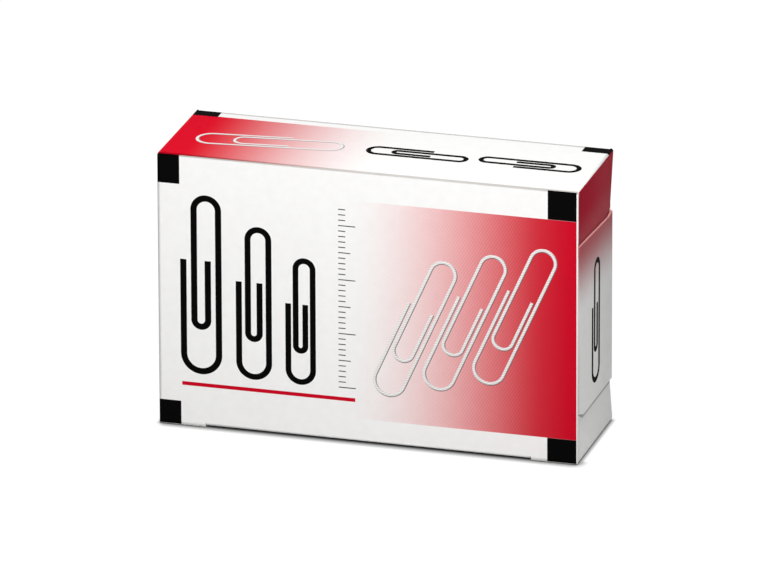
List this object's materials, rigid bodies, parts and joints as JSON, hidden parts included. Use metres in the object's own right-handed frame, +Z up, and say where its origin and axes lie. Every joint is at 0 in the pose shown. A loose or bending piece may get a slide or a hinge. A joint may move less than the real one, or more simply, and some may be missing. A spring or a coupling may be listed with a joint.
{
  "type": "paper clip carton",
  "caption": "Small folding paperboard carton of wire paper clips, with a hinged front lid, slit-lock tuck flap, dust flaps and glued ends.",
  "frame": {"origin": "middle of the underside of the closed carton", "axes": "+X to the right-hand end, the lid faces -Y, +Z up with the carton standing on its bottom wall"},
  "size_m": [0.076, 0.0232, 0.0505],
  "materials": {
    "carton_print": "clay-coated white board with red and black print",
    "lid_print": "clay-coated white board with a red fade and black corner blocks",
    "plain_board": "unprinted white board",
    "adhesive": "dried hot-melt film",
    "clip_steel": "bright zinc-plated ridged wire"
  },
  "bodies": {
    "tray": {"back_panel": "carton_print", "top_wall": "carton_print", "bottom_wall": "carton_print", "lid_crease": "lid_print", "glue_strips": "adhesive", "right_end_flap": "carton_print", "left_end_flap": "carton_print", "right_dust_crease": "plain_board", "left_dust_crease": "plain_board", "right_top_glue_tab": "carton_print", "left_top_glue_tab": "carton_print", "right_bottom_glue_tab": "carton_print", "left_bottom_glue_tab": "carton_print", "clip_layer_01": "clip_steel", "clip_layer_02": "clip_steel", "clip_layer_03": "clip_steel", "clip_layer_04": "clip_steel", "clip_layer_05": "clip_steel", "clip_layer_06": "clip_steel", "clip_layer_07": "clip_steel", "clip_layer_08": "clip_steel", "clip_layer_09": "clip_steel", "clip_layer_10": "clip_steel", "clip_layer_11": "clip_steel", "clip_layer_12": "clip_steel", "clip_layer_13": "clip_steel", "clip_layer_14": "clip_steel", "clip_layer_15": "clip_steel", "clip_layer_16": "clip_steel", "clip_layer_17": "clip_steel", "clip_layer_18": "clip_steel", "clip_layer_19": "clip_steel", "clip_layer_20": "clip_steel"},
    "lid": {"lid_panel": "lid_print", "tuck_crease": "lid_print"},
    "tuck": {"tuck_flap": "plain_board"},
    "left_dust": {"left_dust_flap": "plain_board"},
    "right_dust": {"right_dust_flap": "plain_board"}
  },
  "joints": [
    {"name": "lid_hinge", "type": "hinge", "parent": "tray", "child": "lid", "pos_m": [0, -0.01139, 0.05029], "axis": [-1, 0, 0], "range_deg": [0, 180], "deforming": ["lid_crease"]},
    {"name": "tuck_fold", "type": "hinge", "parent": "lid", "child": "tuck", "pos_m": [0, -0.01139, 0.0005], "axis": [-1, 0, 0], "range_deg": [0, 54], "deforming": ["tuck_crease"]},
    {"name": "left_dust_fold", "type": "hinge", "parent": "tray", "child": "left_dust", "pos_m": [-0.03779, -0.01087, 0.02525], "axis": [0, 0, -1], "range_deg": [0, 90], "deforming": ["left_dust_crease"]},
    {"name": "right_dust_fold", "type": "hinge", "parent": "tray", "child": "right_dust", "pos_m": [0.03779, -0.01087, 0.02525], "axis": [0, 0, 1], "range_deg": [0, 90], "deforming": ["right_dust_crease"]}
  ],
  "couplings": [
    {"joint": "tuck_fold", "follows": "lid_hinge", "ratio": 0.3},
    {"joint": "left_dust_fold", "follows": "lid_hinge", "ratio": 0.5},
    {"joint": "right_dust_fold", "follows": "lid_hinge", "ratio": 0.5}
  ]
}
